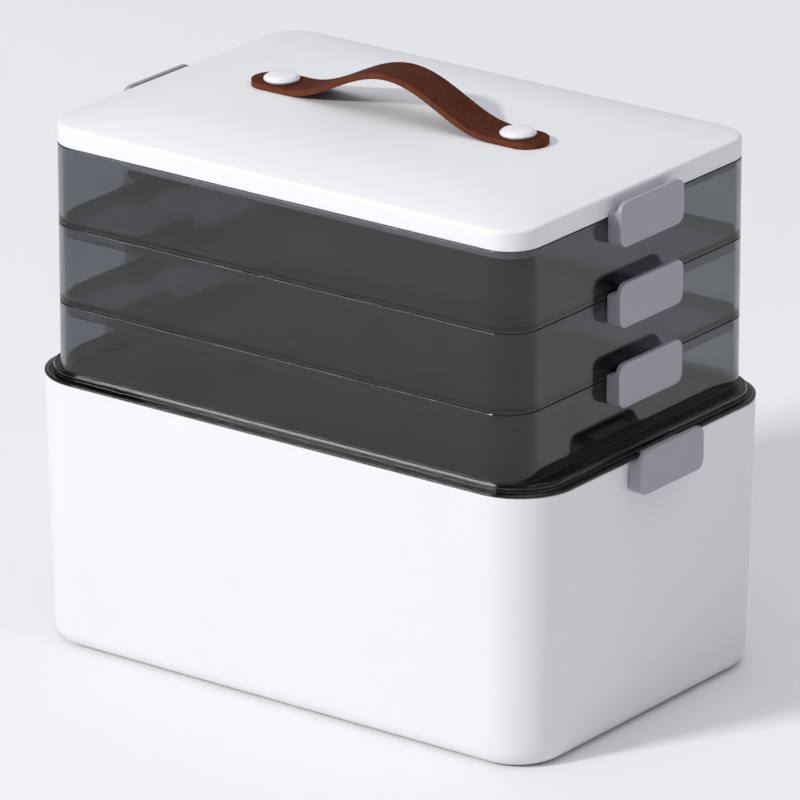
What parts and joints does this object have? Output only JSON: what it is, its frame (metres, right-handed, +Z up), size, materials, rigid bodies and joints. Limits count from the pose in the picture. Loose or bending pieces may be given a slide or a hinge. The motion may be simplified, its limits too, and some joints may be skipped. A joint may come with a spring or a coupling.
{
  "type": "medicine storage box",
  "caption": "Stacking medicine box: a deep white bin, clear trays and a crowned lid with a leather strap handle, gripped together by side latches at each joint.",
  "frame": {"origin": "centre of the base on the surface that the box stands on", "axes": "+X along the long side, the front faces -Y, +Z up"},
  "size_m": [0.368, 0.2304, 0.3362],
  "materials": {
    "white_plastic": "satin moulded polypropylene",
    "clear_plastic": "smoky transparent polystyrene, polished",
    "latch_plastic": "grey moulded plastic",
    "pin_steel": "drawn wire",
    "leather": "brown leather with a smooth face"
  },
  "bodies": {
    "bin_body": {"bin": "white_plastic", "pin_bin_left": "pin_steel", "pin_bin_right": "pin_steel"},
    "tray_bottom_body": {"tray_bottom": "clear_plastic", "pin_bottom_left": "pin_steel", "pin_bottom_right": "pin_steel"},
    "tray_middle_body": {"tray_middle": "clear_plastic", "pin_middle_left": "pin_steel", "pin_middle_right": "pin_steel"},
    "tray_top_body": {"tray_top": "clear_plastic", "pin_top_left": "pin_steel", "pin_top_right": "pin_steel"},
    "lid_body": {"lid": "white_plastic", "handle_strap": "leather", "rivet_left": "white_plastic", "rivet_right": "white_plastic", "rivet_back_left": "white_plastic", "rivet_back_right": "white_plastic"},
    "latch_bin_left_body": {"latch_bin_left": "latch_plastic"},
    "latch_bin_right_body": {"latch_bin_right": "latch_plastic"},
    "latch_bottom_left_body": {"latch_bottom_left": "latch_plastic"},
    "latch_bottom_right_body": {"latch_bottom_right": "latch_plastic"},
    "latch_middle_left_body": {"latch_middle_left": "latch_plastic"},
    "latch_middle_right_body": {"latch_middle_right": "latch_plastic"},
    "latch_top_left_body": {"latch_top_left": "latch_plastic"},
    "latch_top_right_body": {"latch_top_right": "latch_plastic"}
  },
  "joints": [
    {"name": "tray_bottom_lift", "type": "slide", "parent": "bin_body", "child": "tray_bottom_body", "axis": [0, 0, 1], "range_m": [0, 0.07]},
    {"name": "tray_middle_lift", "type": "slide", "parent": "tray_bottom_body", "child": "tray_middle_body", "axis": [0, 0, 1], "range_m": [0, 0.07]},
    {"name": "tray_top_lift", "type": "slide", "parent": "tray_middle_body", "child": "tray_top_body", "axis": [0, 0, 1], "range_m": [0, 0.07]},
    {"name": "lid_lift", "type": "slide", "parent": "tray_top_body", "child": "lid_body", "axis": [0, 0, 1], "range_m": [0, 0.07]},
    {"name": "latch_bin_left_hinge", "type": "hinge", "parent": "bin_body", "child": "latch_bin_left_body", "pos_m": [-0.1794, 0, 0.1426], "axis": [0, -1, 0], "range_deg": [0, 90]},
    {"name": "latch_bin_right_hinge", "type": "hinge", "parent": "bin_body", "child": "latch_bin_right_body", "pos_m": [0.1794, 0, 0.1426], "axis": [0, 1, 0], "range_deg": [0, 90]},
    {"name": "latch_bottom_left_hinge", "type": "hinge", "parent": "tray_bottom_body", "child": "latch_bottom_left_body", "pos_m": [-0.1644, 0, 0.1889], "axis": [0, -1, 0], "range_deg": [0, 90]},
    {"name": "latch_bottom_right_hinge", "type": "hinge", "parent": "tray_bottom_body", "child": "latch_bottom_right_body", "pos_m": [0.1644, 0, 0.1889], "axis": [0, 1, 0], "range_deg": [0, 90]},
    {"name": "latch_middle_left_hinge", "type": "hinge", "parent": "tray_middle_body", "child": "latch_middle_left_body", "pos_m": [-0.1644, 0, 0.2343], "axis": [0, -1, 0], "range_deg": [0, 90]},
    {"name": "latch_middle_right_hinge", "type": "hinge", "parent": "tray_middle_body", "child": "latch_middle_right_body", "pos_m": [0.1644, 0, 0.2343], "axis": [0, 1, 0], "range_deg": [0, 90]},
    {"name": "latch_top_left_hinge", "type": "hinge", "parent": "tray_top_body", "child": "latch_top_left_body", "pos_m": [-0.1644, 0, 0.2797], "axis": [0, -1, 0], "range_deg": [0, 90]},
    {"name": "latch_top_right_hinge", "type": "hinge", "parent": "tray_top_body", "child": "latch_top_right_body", "pos_m": [0.1644, 0, 0.2797], "axis": [0, 1, 0], "range_deg": [0, 90]}
  ]
}
